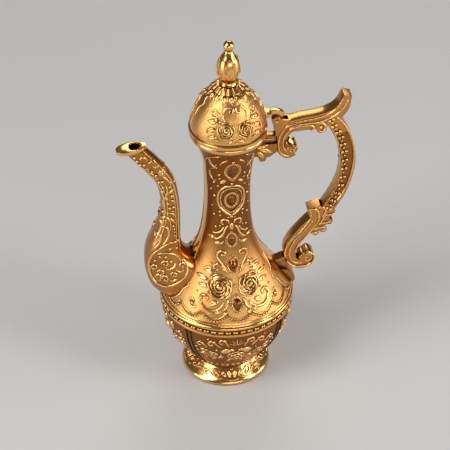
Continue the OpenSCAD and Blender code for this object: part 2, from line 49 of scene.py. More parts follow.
# %% [markdown]
# ## The camera
# The pot is seen from above, at 40 degrees, with a long lens, so its sides stay
# nearly parallel. The spout comes ten degrees towards the viewer. The tiny roll
# and shift set the pot where it stands in the frame.

# %% Camera
AIM = Vector((0, 0, 107.5)) * MM
BACK = 1189 * MM
FRAME_PX = 450
SHIFT_PX = -1.9
ROLL = math.radians(0.55)
azimuth, elevation = math.radians(-10), math.radians(40)
cam_data = bpy.data.cameras.new("pot_camera")
cam_data.lens = 160
cam_data.sensor_width = 36
cam_data.shift_x = SHIFT_PX / FRAME_PX
cam_data.clip_end = 20
cam = bpy.data.objects.new("pot_camera", cam_data)
cam.location = AIM + BACK * Vector((math.sin(azimuth) * math.cos(elevation),
                                    -math.cos(azimuth) * math.cos(elevation),
                                    math.sin(elevation)))
cam.rotation_mode = "QUATERNION"
turn = (AIM - cam.location).to_track_quat("-Z", "Y")
cam.rotation_quaternion = turn @ Matrix.Rotation(ROLL, 3, "Z").to_quaternion()
bpy.context.scene.collection.objects.link(cam)
bpy.context.scene.camera = cam
print("camera", [round(v, 3) for v in cam.location])

# %% [markdown]
# ## Light and floor
# Polished metal shows what stands around it. Large soft lamps give it broad
# highlights, and a dimmer room between them gives the darker reflections that
# make gold look like metal and not like yellow paint.

# %% Lamps
def soft_lamp(name, place, size, watts, aim=(0, 0, 0.11), tint=(1, 1, 1)):
    data = bpy.data.lights.new(name, "AREA")
    data.shape = "RECTANGLE"
    data.size, data.size_y = size
    data.energy = watts
    data.color = tint
    lamp = bpy.data.objects.new(name, data)
    lamp.location = place
    lamp.rotation_mode = "QUATERNION"
    lamp.rotation_quaternion = (Vector(aim) - Vector(place)).to_track_quat("-Z", "Y")
    bpy.context.scene.collection.objects.link(lamp)
    return lamp

soft_lamp("key_lamp", (-0.75, -0.35, 0.95), (0.5, 0.7), 7.0)
soft_lamp("fill_lamp", (0.85, -0.55, 0.6), (0.3, 0.7), 5.2)
soft_lamp("front_lamp", (0.12, -1.05, 0.3), (0.9, 0.22), 2.6)
soft_lamp("back_lamp", (0.25, 0.9, 0.8), (0.8, 0.4), 3.2)
soft_lamp("left_strip", (-0.92, -0.30, 0.22), (0.5, 0.4), 2.6)
soft_lamp("right_strip", (0.95, -0.12, 0.2), (0.36, 0.4), 1.8)
scene = bpy.context.scene
scene.view_settings.view_transform = "Standard"
world = bpy.data.worlds.new("room")
scene.world = world
world.use_nodes = True
room = world.node_tree.nodes["Background"]
room.inputs["Color"].default_value = (0.60, 0.60, 0.62, 1)
room.inputs["Strength"].default_value = 0.2

# %% [markdown]
# ## Shader sums in plain Python
# A finish is a small network of nodes. Wrapping a socket in a class with
# operators lets a mask be written as `1 - mask * 0.5`.

# %% The socket wrapper and the finish maker
class Wire:
    def __init__(self, finish, socket):
        self.finish, self.socket = finish, socket

    def _do(self, op, a, b):
        return self.finish.node("ShaderNodeMath", {"operation": op}, {0: a, 1: b})

    def __add__(self, other):
        return self._do("ADD", self, other)

    def __radd__(self, other):
        return self._do("ADD", other, self)

    def __sub__(self, other):
        return self._do("SUBTRACT", self, other)

    def __rsub__(self, other):
        return self._do("SUBTRACT", other, self)

    def __mul__(self, other):
        return self._do("MULTIPLY", self, other)

    def __rmul__(self, other):
        return self._do("MULTIPLY", other, self)

    def __pow__(self, other):
        return self._do("POWER", self, other)

    def above(self, edge, soft):
        """0 below edge, 1 above edge + soft."""
        return self.finish.node("ShaderNodeMapRange", {"clamp": True},
                                {"Value": self, "From Min": edge, "From Max": edge + soft})


class Finish:
    def __init__(self, name):
        self.mat = bpy.data.materials.new(name)
        self.mat.use_nodes = True
        self.tree = self.mat.node_tree
        self.shader = self.tree.nodes["Principled BSDF"]

    def node(self, kind, settings=None, values=None, out=0):
        n = self.tree.nodes.new(kind)
        for key, value in (settings or {}).items():
            if key == "stops":
                ramp = n.color_ramp
                while len(ramp.elements) < len(value):
                    ramp.elements.new(0.5)
                for stop, (pos, col) in zip(ramp.elements, value):
                    stop.position, stop.color = pos, col
            else:
                setattr(n, key, value)
        for key, value in (values or {}).items():
            if isinstance(value, Wire):
                self.tree.links.new(value.socket, n.inputs[key])
            else:
                n.inputs[key].default_value = value
        return Wire(self, n.outputs[out])

    def set(self, key, value):
        if isinstance(value, Wire):
            self.tree.links.new(value.socket, self.shader.inputs[key])
        else:
            self.shader.inputs[key].default_value = value

    def mix(self, amount, a, b):
        return self.node("ShaderNodeMix", {"data_type": "RGBA"},
                         {0: amount, 6: a, 7: b}, out=2)

    def place(self):
        return self.node("ShaderNodeTexCoord", out=3)

    def noise(self, scale, detail=3.0, rough=0.55):
        return self.node("ShaderNodeTexNoise", {"noise_dimensions": "3D"},
                         {"Vector": self.place(), "Scale": scale, "Detail": detail,
                          "Roughness": rough})

    def cells(self, scale):
        return self.node("ShaderNodeTexVoronoi", {"feature": "F1"},
                         {"Vector": self.place(), "Scale": scale})

print("shader helpers ready")

# %% [markdown]
# ## Gilding
# The pot is cast and raised metal under a thin orange gold. On the real piece
# the high spots are rubbed bright, the hollows keep a brown patina, and the
# ground behind the flowers is stippled with a punch. So one function makes every
# gilded finish: a polish, a brown that gathers in corners as patina and painted
# shade, and optional stippling inside a field on the front and back, which is
# also painted darker as shade.

# %% Gilded finishes
# DEEP is the dark tone of painted shade in the stippled fields and on the bowl. BROWN is the
# corner brown of patina and painted shade, and also the colour of small dark flecks.
GOLD = (0.88, 0.45, 0.13, 1)
PALE = (1.0, 0.67, 0.29, 1)
DEEP = (0.28, 0.105, 0.022, 1)
BROWN = (0.045, 0.014, 0.004, 1)

def gilding(name, polish=0.16, patina_and_shade_amount=0.85, reach=0.003, field=None, tone=GOLD,
            high=PALE, rub=0.5):
    f = Finish(name)
    corner = f.node("ShaderNodeAmbientOcclusion", {"samples": 8},
                    {"Distance": reach}, out=1)
    # Painted shade: ambient occlusion darkens corners, creases and the ground round the relief
    # towards brown; it also stands for the real brown patina in hollows.
    patina_and_shade_mask = (1 - corner).above(0.16, 0.42) * patina_and_shade_amount
    cloud = f.noise(45, 4)
    fleck = f.noise(900, 2)
    colour = f.mix(cloud.above(0.35, 0.4) * rub, tone, high)
    rough = polish + cloud * 0.08 + patina_and_shade_mask * 0.25
    height = fleck * 0.25
    if field:
        x, y, z = (f.node("ShaderNodeSeparateXYZ", None, {0: f.place()}, out=i)
                   for i in range(3))
        side = f.node("ShaderNodeMath", {"operation": "ABSOLUTE"}, {0: x})
        depth = f.node("ShaderNodeMath", {"operation": "ABSOLUTE"}, {0: y})
        angle = f.node("ShaderNodeMath", {"operation": "ARCTAN2"}, {0: side, 1: depth})
        inside = (math.radians(field["half"]) - angle).above(0, 0.03)
        inside = inside * z.above(field["z"][0] * MM, 0.0004) * (
            1 - z.above(field["z"][1] * MM, 0.0004))
        # On the handle the field is the sunk channel on the sideways-facing sides, which is
        # painted darker as shade.
        if field.get("sunk"):
            facing = f.node("ShaderNodeNewGeometry", out=1)
            across = f.node("ShaderNodeSeparateXYZ", None, {0: facing}, out=1)
            flat = f.node("ShaderNodeMath", {"operation": "ABSOLUTE"}, {0: across})
            inside = flat.above(0.75, 0.1) * (1 - depth.above(field["sunk"] * MM, 0.0001))
        punch = f.cells(1500)
        # Painted shade: the stippled field is darkened towards DEEP by its own amount.
        depth_of_tone = inside * field["deep"]
        # Painted light: below the band the field's painted shade falls to 0.3 of its strength,
        # so the lower shoulder reads lit.
        if field.get("painted_light_below"):
            low, high_z = field["painted_light_below"]
            depth_of_tone = depth_of_tone * (0.3 + 0.7 * z.above(low * MM, (high_z - low) * MM))
        colour = f.mix(depth_of_tone, colour, DEEP)
        rough = rough + inside * field["matte"]
        height = height + (1 - punch) * inside * 1.6
    # Base colour: small dark flecks, and the corner brown of patina and painted shade.
    f.set("Base Color", f.mix(fleck.above(0.45, 0.3) * 0.1 + patina_and_shade_mask, colour, BROWN))
    f.set("Metallic", 1.0)
    f.set("Roughness", rough)
    f.set("Normal", f.node("ShaderNodeBump", None,
                           {"Strength": 0.35, "Distance": 0.00025, "Height": height}))
    return f.mat

# The body's field is painted dark as shade, less so on the lower shoulder, as painted light.
gold_body = gilding("gilt_field_of_the_body",
                    field={"half": 70, "z": (62.6, 178), "matte": 0.12, "deep": 1.0,
                           "painted_light_below": (84, 112)})
# Painted shade: a light darkening of the lid's stippled field.
gold_lid = gilding("gilt_field_of_the_lid",
                   field={"half": 78, "z": (185, 207), "matte": 0.1, "deep": 0.2})
# Painted shade: the bowl takes the dark DEEP tone all over, darker still in its field.
gold_bowl = gilding("gilt_bowl", polish=0.22, patina_and_shade_amount=0.9, tone=DEEP, high=GOLD, rub=0.2,
                    field={"half": 90, "z": (14, 52), "matte": 0.1, "deep": 0.6})
# Painted shade: the belt's groove is painted fully dark.
gold_belt = gilding("gilt_belt", polish=0.14, patina_and_shade_amount=0.9,
                    field={"half": 91, "z": (54.9, 58.3), "matte": 0.1, "deep": 1.0})
gold_trim = gilding("gilt_trim", polish=0.14, patina_and_shade_amount=0.8)
gold_relief = gilding("gilt_relief", polish=0.17, patina_and_shade_amount=1.0, reach=0.0013, rub=0.8)
# Painted shade: the spout, bracket and boss take a darker tone than the body's gold.
gold_cast = gilding("gilt_casting", polish=0.18, patina_and_shade_amount=1.0, rub=0.4, high=GOLD,
                    tone=(0.42, 0.175, 0.043, 1))
# Painted shade: the handle takes a darker tone than the body's gold, and its side channel darker
# still.
gold_handle = gilding("gilt_handle", polish=0.17, patina_and_shade_amount=1.0, rub=0.5, high=GOLD,
                      tone=(0.56, 0.25, 0.065, 1),
                      field={"half": 90, "z": (0, 184), "sunk": 3.3, "matte": 0.15,
                             "deep": 0.75})
print("gilded finishes made")

# %% [markdown]
# ## Dark gilt and painted shade
# The hollows round the cast cabochons are painted dark brown as shade, and the
# cabochons take the same dark gold under a clear gloss, a plain gold of its own.

# %% Dark gilt and painted shade
dark_gilt_and_shade = Finish("dark_gilt_and_painted_shade")
bloom = dark_gilt_and_shade.noise(500, 3)
dark_gilt_and_shade.set("Base Color", dark_gilt_and_shade.mix(bloom.above(0.35, 0.4), (0.17, 0.062, 0.015, 1),
                                        (0.38, 0.15, 0.038, 1)))
dark_gilt_and_shade.set("Metallic", 1.0)
dark_gilt_and_shade.set("Roughness", 0.14 + bloom * 0.12)
print("dark gilt and painted shade made")

# %% [markdown]
# ## Fixings
# The bolts, nuts and dowels are plain turned brass that nobody polishes, so
# they are duller and show fine turning marks. The hinge pin takes the gilt trim.

# %% Turned brass
brass = Finish("turned_brass")
mark = brass.noise(1400, 2)
brass.set("Base Color", brass.mix(mark.above(0.4, 0.3) * 0.4, (0.52, 0.40, 0.20, 1),
                                  (0.26, 0.18, 0.08, 1)))
brass.set("Metallic", 1.0)
brass.set("Roughness", 0.3 + mark * 0.2)
print("turned brass made")

# %% [markdown]
# ## Dressing the solids
# The solids come as loose triangles. A Weld joins them, smooth shading with an
# edge split keeps real corners sharp, and the castings get a small bevel, since
# a cast and polished edge is never a knife edge.

# %% Assign finishes to the CAD parts
def dress(name, mat, bevel=0.0, keep=32):
    part = parts[name]
    part.data.materials.clear()
    part.data.materials.append(mat)
    part.data.polygons.foreach_set("use_smooth", [True] * len(part.data.polygons))
    weld = part.modifiers.new("join", "WELD")
    weld.merge_threshold = 0.000004
    if bevel:
        soft = part.modifiers.new("soft_edge", "BEVEL")
        soft.width = bevel * MM
        soft.segments = 2
        soft.limit_method = "ANGLE"
        soft.angle_limit = math.radians(40)
        soft.harden_normals = False
    split = part.modifiers.new("corners", "EDGE_SPLIT")
    split.split_angle = math.radians(keep)

for name, mat, bevel in (
        ("base_plate", gold_trim, 0), ("foot", gold_trim, 0),
        ("foot_ring", gold_trim, 0), ("bowl", gold_bowl, 0),
        ("belt_ring", gold_belt, 0), ("upper_body", gold_body, 0),
        ("mouth_ring", gold_trim, 0), ("spout_near_half", gold_cast, 0),
        ("spout_far_half", gold_cast, 0), ("spout_lip", gold_trim, 0.25),
        ("neck_bracket", gold_cast, 0.5), ("handle_boss", gold_cast, 0.5),
        ("handle", gold_handle, 0.45), ("lid_dome", gold_lid, 0),
        ("lid_collar", gold_trim, 0), ("lid_leaf", gold_trim, 0.35),
        ("finial", gold_trim, 0), ("finial_collar", gold_trim, 0.15),
        ("foot_bolt", brass.mat, 0), ("foot_nut", brass.mat, 0),
        ("handle_dowels", brass.mat, 0), ("hinge_pin", gold_trim, 0),
        ("finial_nut", brass.mat, 0)):
    dress(name, mat, bevel)
print("dressed", len(parts), "parts")

# %% [markdown]
# ## Working on a round skin
# A chaser draws on the flat and then works the drawing into the curved wall.
# The same is done here: every ornament is first built flat, in millimetres,
# with z as its height. The skin knows the wall's profile, and each point of the
# drawing is then dropped onto the real metal along the wall's own normal, so an
# ornament also follows the bosses and ribs that it crosses.

# %% The round skin
class RoundSkin:
    def __init__(self, node, low, high, look=0.0):
        graph = bpy.context.evaluated_depsgraph_get()
        self.tree = BVHTree.FromObject(parts[node], graph)
        ray = Vector((math.sin(look), -math.cos(look), 0))
        self.rows = []
        steps = int((high - low) / 0.5) + 1
        for i in range(steps):
            z = low + (high - low) * i / (steps - 1)
            start = ray * 0.2 + Vector((0, 0, z * MM))
            hit = self.tree.ray_cast(start, -ray, 0.2)[0]
            if hit is not None:
                self.rows.append([0.0, math.hypot(hit.x, hit.y) / MM, z])
        for a, b in zip(self.rows, self.rows[1:]):
            b[0] = a[0] + math.hypot(b[1] - a[1], b[2] - a[2])
        print(node, "skin:", len(self.rows), "rows")

    def at(self, s):
        rows = self.rows
        s = min(max(s, rows[0][0] + 1e-4), rows[-1][0] - 1e-4)
        lo, hi = 0, len(rows) - 1
        while hi - lo > 1:
            mid = (lo + hi) // 2
            if rows[mid][0] > s:
                hi = mid
            else:
                lo = mid
        a, b = rows[lo], rows[hi]
        t = (s - a[0]) / (b[0] - a[0])
        c, d = rows[max(lo - 2, 0)], rows[min(hi + 2, len(rows) - 1)]
        slope = Vector((d[1] - c[1], d[2] - c[2])).normalized()
        return a[1] + (b[1] - a[1]) * t, a[2] + (b[2] - a[2]) * t, slope

    def height(self, z):
        """Length along the skin at height z."""
        for a, b in zip(self.rows, self.rows[1:]):
            if a[2] <= z <= b[2]:
                return a[0] + (b[0] - a[0]) * (z - a[2]) / (b[2] - a[2])
        return self.rows[-1][0]

    def spot(self, angle, z, home):
        """Flat place of a point given by its angle and height."""
        s = self.height(z)
        return math.radians(angle) * self.at(s)[0], s - self.height(home)

    def lay(self, bm, z, angle=0.0, right=0.0):
        """Lays a flat drawing on the metal: x to the right, y up, z outwards."""
        s0 = self.height(z)
        for v in bm.verts:
            r, height, slope = self.at(s0 + v.co.y)
            a = math.radians(angle) + (v.co.x + right) / r
            out = Vector((slope.y * math.sin(a), -slope.y * math.cos(a), -slope.x))
            wall = Vector((r * math.sin(a), -r * math.cos(a), height)) * MM
            hit = self.tree.ray_cast(wall + out * 0.0035, -out, 0.006)[0]
            v.co = (wall if hit is None else hit) + out * v.co.z * MM

LOOK = math.radians(30)
body_skin = RoundSkin("upper_body", 61.5, 176.5, LOOK)
bowl_skin = RoundSkin("bowl", 12, 52.5, LOOK)
lid_skin = RoundSkin("lid_dome", 184.8, 210.5, LOOK)
foot_skin = RoundSkin("foot", 1.0, 8.6)
finial_skin = RoundSkin("finial", 213.5, 233.5)

# %% [markdown]
# ## The chaser's strokes
# A raised line is a rolled-up grid: a strip of faces is rolled into a tube,
# bent along a smooth path, and thinned towards its ends. Leaves and buds are
# spheres pressed flat and pinched to a point.

# %% Strokes, beads, buds and leaves
def smooth_path(keys, m=4):
    pts = []
    last = len(keys) - 1
    for i in range(last):
        a, b, c, d = (keys[max(i - 1, 0)], keys[i], keys[i + 1], keys[min(i + 2, last)])
        for j in range(m):
            t = j / m
            pts.append(tuple(0.5 * (2 * q + (r - p) * t + (2 * p - 5 * q + 4 * r - s) * t * t
                                    + (3 * q - p - 3 * r + s) * t ** 3)
                             for p, q, r, s in zip(a, b, c, d)))
    return pts + [tuple(keys[-1])]

def add_to(bm, piece):
    mesh = bpy.data.meshes.new("tmp")
    piece.to_mesh(mesh)
    bm.from_mesh(mesh)
    bpy.data.meshes.remove(mesh)
    piece.free()

def stroke(bm, keys, w=0.7, tip=0.35, tall=1.15, sides=8, m=4, lift=0.0):
    """A raised line along keys, w in half width, thinned to tip * w at its ends."""
    path = smooth_path(keys, m)
    n = len(path) - 1
    tube = bmesh.new()
    bmesh.ops.create_grid(tube, x_segments=n, y_segments=sides, size=0.5)
    for v in tube.verts:
        i = round((v.co.x + 0.5) * n)
        turn_to = (v.co.y + 0.5) * 2 * math.pi
        t = i / n
        fat = w * (tip + (1 - tip) * math.sin(math.pi * min(max(t, 0.02), 0.98)) ** 0.6)
        if i in (0, n):
            fat *= 0.35
        a, b = path[max(i - 1, 0)], path[min(i + 1, n)]
        along = Vector((b[0] - a[0], b[1] - a[1])).normalized()
        across = math.cos(turn_to) * fat
        v.co = Vector((path[i][0] - along.y * across, path[i][1] + along.x * across,
                       math.sin(turn_to) * fat * tall + lift))
    bmesh.ops.remove_doubles(tube, verts=tube.verts, dist=0.002)
    bmesh.ops.holes_fill(tube, edges=tube.edges, sides=sides + 2)
    bmesh.ops.recalc_face_normals(tube, faces=tube.faces)
    add_to(bm, tube)

def bead(bm, x, y, r, lift=0.3):
    bmesh.ops.create_uvsphere(bm, u_segments=8, v_segments=6, radius=r,
                              matrix=Matrix.Translation((x, y, r * lift)))

def bud(bm, x, y, rx, ry, tall, angle=0.0, lift=0.0):
    """A smooth oval boss."""
    place = (Matrix.Translation((x, y, lift)) @ Matrix.Rotation(math.radians(angle), 4, "Z")
             @ Matrix.Diagonal((rx, ry, tall, 1)))
    bmesh.ops.create_uvsphere(bm, u_segments=20, v_segments=10, radius=1, matrix=place)

def leaf(bm, x, y, length, width, angle, tall=1.0, bend=0.0):
    """A pointed leaf with a sunk midrib; angle is where its tip points."""
    new = bmesh.ops.create_uvsphere(bm, u_segments=16, v_segments=10, radius=1)["verts"]
    turn_by = Matrix.Rotation(math.radians(angle), 3, "Z")
    for v in new:
        a, b, c = v.co
        b *= 1 - 0.6 * max(a, 0) ** 1.4
        c *= 1 - 0.55 * math.exp(-(b * 4.5) ** 2)
        flat = Vector((a * length / 2, b * width / 2 + bend * a * a, c * tall))
        v.co = turn_by @ flat + Vector((x, y, 0))

def milgrain(bm, keys, r=0.42, gap=0.95, closed=False, m=6, start=0.0):
    """A row of tiny beads along a path."""
    path = smooth_path(list(keys) + ([keys[0]] if closed else []), m)
    run, done = 0.0, 0
    row = bmesh.new()
    for a, b in zip(path, path[1:]):
        step = math.hypot(b[0] - a[0], b[1] - a[1])
        while start + done * gap <= run + step:
            t = (start + done * gap - run) / step if step else 0
            bead(row, a[0] + (b[0] - a[0]) * t, a[1] + (b[1] - a[1]) * t, r)
            done += 1
        run += step
    add_to(bm, row)

def ring_keys(x, y, rx, ry, n=16, point=0.0):
    """Points round an oval; point > 0 draws its top out into a drop's tip."""
    keys = []
    for i in range(n):
        a = 2 * math.pi * i / n
        up = math.cos(a)
        towards_tip = max(up * math.copysign(1, point or 1), 0)
        narrow = 1 - abs(point) * towards_tip ** 2
        keys.append((x + rx * math.sin(a) * narrow, y + ry * up))
    return keys

def both_ways(keys, side):
    return [(side * k[0], k[1]) for k in keys]

print("chaser's strokes ready")

# %% [markdown]
# ## Set stones in gold
# The pot has no real stones. Oval and drop-shaped cabochons are cast with it,
# each in a smooth rim inside a row of beads, and their hollow is painted dark as
# shade. The dark floor is its own thin piece, so it can have its own finish.

# %% Gems and their dark beds
def bed(bm, x, y, rx, ry, tall=0.3):
    """A dark floor of painted shade, or a dark stone; its faces take the second finish of the
    piece.
    """
    place = (Matrix.Translation((x, y, 0)) @ Matrix.Diagonal((rx, ry, tall, 1)))
    new = bmesh.ops.create_uvsphere(bm, u_segments=20, v_segments=10, radius=1,
                                    matrix=place)["verts"]
    for face in {f for v in new for f in v.link_faces}:
        face.material_index = 1

def gem(bm, x, y, rx, ry, point=0.0, r=0.6, rim=0.36, stone=1.0, dark=True):
    """A cabochon in a smooth rim and a row of beads, oval or drop-shaped."""
    keys = ring_keys(x, y, rx, ry, point=point)
    milgrain(bm, keys, r=r, gap=r * 2.55, closed=True)
    inner = ring_keys(x, y, rx - r - rim * 0.7, ry - r - rim * 0.8, point=point)
    stroke(bm, inner + inner[:1], w=rim, tip=1.0, sides=6, m=2)
    if not dark:
        return
    low = -0.12 * ry * (1 if point > 0 else -1 if point < 0 else 0)
    wide, tall = rx - r - rim * 1.5, ry - r - rim * 1.5
    # Painted shade: a dark floor in the hollow inside the rim; the stone on it takes the same
    # dark gold.
    bed(bm, x, y + low, wide, tall * (0.85 if point else 1))
    bed(bm, x, y + low, wide * 0.66, tall * 0.62, stone)

print("gems ready")

# %% [markdown]
# ## The rose
# The roses on the shoulder and lid are cast in low relief. Seen from the front,
# a rose is three rings of petals. Each petal's rim is a bold curved ridge that
# starts on the outside and tucks in behind the next one, and each inner ring
# stands a little higher, up to a small spiral heart.

# %% Rose
def rose(bm, x, y, size, spin=0.0):
    bud(bm, x, y, size * 0.86, size * 0.86, size * 0.07)
    bud(bm, x, y, size * 0.60, size * 0.60, size * 0.15)
    bud(bm, x, y, size * 0.33, size * 0.33, size * 0.23)
    for count, out, reach, up, w in ((5, 0.34, 0.58, 0.05, 0.085),
                                     (4, 0.19, 0.42, 0.12, 0.08),
                                     (3, 0.08, 0.26, 0.20, 0.07)):
        for i in range(count):
            a = spin + count + 2 * math.pi * i / count
            cx, cy = x + out * size * math.cos(a), y + out * size * math.sin(a)
            rim = [(cx + size * reach * math.cos(a + t), cy + size * reach * math.sin(a + t))
                   for t in (-0.95, -0.5, 0.0, 0.5, 1.0, 1.5, 1.9)]
            stroke(bm, rim, w=size * w, tip=0.45, lift=size * up, m=3, sides=8)
    bead(bm, x, y, size * 0.11, lift=2.6)

def settle(bm, name, body="pot", mat=None):
    """Turns a finished bmesh into a piece that rides on its body."""
    for face in bm.faces:
        face.smooth = True
    mesh = bpy.data.meshes.new(name)
    bm.to_mesh(mesh)
    bm.free()
    piece = bpy.data.objects.new(name, mesh)
    bpy.context.scene.collection.objects.link(piece)
    mesh.materials.append(mat or gold_relief)
    if any(p.material_index for p in mesh.polygons):
        mesh.materials.append(dark_gilt_and_shade.mat)
    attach(piece, body)
    print(name, "triangles:", sum(len(p.vertices) - 2 for p in mesh.polygons))
    return piece

def lay_around(skin, drawing, z, angles, right=0.0):
    """Copies one flat drawing to several sides of a skin."""
    whole = bmesh.new()
    for angle in angles:
        one = drawing.copy()
        skin.lay(one, z, angle, right=right)
        add_to(whole, one)
    drawing.free()
    return whole

print("rose ready")

# %% [markdown]
# ## The shoulder's bouquet
# Two roses under an oval boss, with scrolls rising to curls, leaves to both
# sides and a beaded drop below. The back of the pot carries the same bouquet.

# %% Shoulder bouquet
def shoulder_bouquet():
    bm = bmesh.new()
    rose(bm, -9.2, -0.5, 8.0, 0.4)
    rose(bm, 9.1, -0.6, 7.5, 1.1)
    gem(bm, -0.1, 13.3, 4.1, 5.6)
    gem(bm, 0.3, -10.6, 3.8, 5.6, point=0.6)
    bead(bm, 0, 0.3, 0.9)
    for s in (-1, 1):
        def draw(keys, **how):
            stroke(bm, both_ways(keys, s), **how)
        draw([(3.6, 7.4), (5.2, 11.6), (7.6, 14.8), (9.4, 17.4), (8.6, 20.5), (6.4, 21.9),
              (4.4, 21.0), (4.6, 19.2), (6.0, 18.9)], w=0.85)
        bead(bm, s * 6.1, 19.4, 0.8)
        draw([(4.8, 8.2), (6.4, 11.8), (8.8, 13.3), (11.3, 12.1), (11.7, 9.9), (10.1, 9.3),
              (9.5, 10.7)], w=0.8)
        draw([(10.4, 7.0), (12.6, 9.4), (15.6, 9.9), (18.2, 8.4), (19.2, 6.4)], w=0.7)
        leaf(bm, s * 14.8, 7.5, 7.6, 4.0, 90 - s * 84)
        leaf(bm, s * 20.6, 3.0, 9.2, 3.6, 90 - s * 88)
        leaf(bm, s * 20.4, -1.6, 8.2, 3.0, 90 - s * 98)
        draw([(7.4, -9.4), (9.6, -12.8), (13.8, -15.2), (18.2, -15.2), (21.4, -12.8),
              (22.0, -9.6), (20.2, -7.2), (17.8, -7.2), (17.4, -9.0), (19.0, -9.8)], w=1.05)
        leaf(bm, s * 14.0, -11.0, 6.6, 3.4, 90 - s * 118)
        leaf(bm, s * 11.2, -15.6, 5.6, 2.4, 90 - s * 112)
        draw([(4.6, -7.6), (5.6, -11.4), (7.8, -15.0)], w=0.85)
        leaf(bm, s * 7.4, -16.6, 5.0, 2.2, 90 - s * 140)
        bead(bm, s * 28.0, -14.2, 1.2)
        draw([(25.8, -13.4), (27.9, -11.6), (30.2, -13.6), (29.0, -16.4), (26.2, -16.0),
              (25.4, -14.4)], w=0.7)
        for x, y, r in ((13.4, 12.6, 0.7), (16.6, -4.8, 0.7), (3.2, -4.6, 0.6),
                        (24.2, -6.4, 0.7), (1.8, 4.8, 0.6)):
            bead(bm, s * x, y, r)
    return bm

settle(lay_around(body_skin, shoulder_bouquet(), 82, (0, 180), right=0.6),
       "shoulder_bouquets")

# %% [markdown]
# ## Festoons and the scalloped border
# Just above the belt a line of tiny beads rises and falls in points, over a
# second, straight line of beads. A raised line with cusps parts the stippled
# field from the polished sides.

# %% Festoons and borders
def festoons():
    bm = bmesh.new()
    top, low = body_skin.spot(0, 66.8, 63)[1], body_skin.spot(0, 63.7, 63)[1]
    wide = math.radians(11.9) * 37.2
    for k in range(-3, 4):
        peak = (k * 2 - 0.85) * wide + 0.6
        for s in (-1, 1):
            keys = [(peak, top), (peak + s * wide * 0.3, top - 1.9),
                    (peak + s * wide * 0.62, low + 0.45), (peak + s * wide, low)]
            milgrain(bm, keys, r=0.74, gap=1.75)
            stroke(bm, [(x, y + 1.5) for x, y in keys], w=0.5, tip=0.8, sides=6)
    return bm

def belt_line():
    bm = bmesh.new()
    for k in range(210):
        bead(bm, (k - 104.5) / 210 * 2 * math.pi * 39.0, 0, 0.48)
    return bm

def field_border(s):
    edge = [(20, 174), (52, 168), (70, 155), (71, 135), (74, 116), (77, 100), (74.4, 88),
            (67.6, 81), (59.2, 77), (63.6, 73.6), (64.6, 70.6), (66.8, 68), (71.4, 65.2),
            (76, 63.6)]
    bm = bmesh.new()
    flat = [body_skin.spot(a, z, 82) for a, z in edge]
    stroke(bm, both_ways(flat, s), w=0.55, tip=0.7, sides=6)
    return bm

trim_lines = bmesh.new()
for angle in (0, 180):
    swag = festoons()
    body_skin.lay(swag, 63.0, angle)
    add_to(trim_lines, swag)
    for s in (-1, 1):
        edge = field_border(s)
        body_skin.lay(edge, 82, angle)
        add_to(trim_lines, edge)
line = belt_line()
body_skin.lay(line, 61.9, 0)
add_to(trim_lines, line)
settle(trim_lines, "festoons_and_borders")

# %% [markdown]
# ## The column of ornament on the neck
# From the top: a hanging beaded drop, a big beaded ring round an oval boss, and
# a palmette whose two arms hold a second drop.

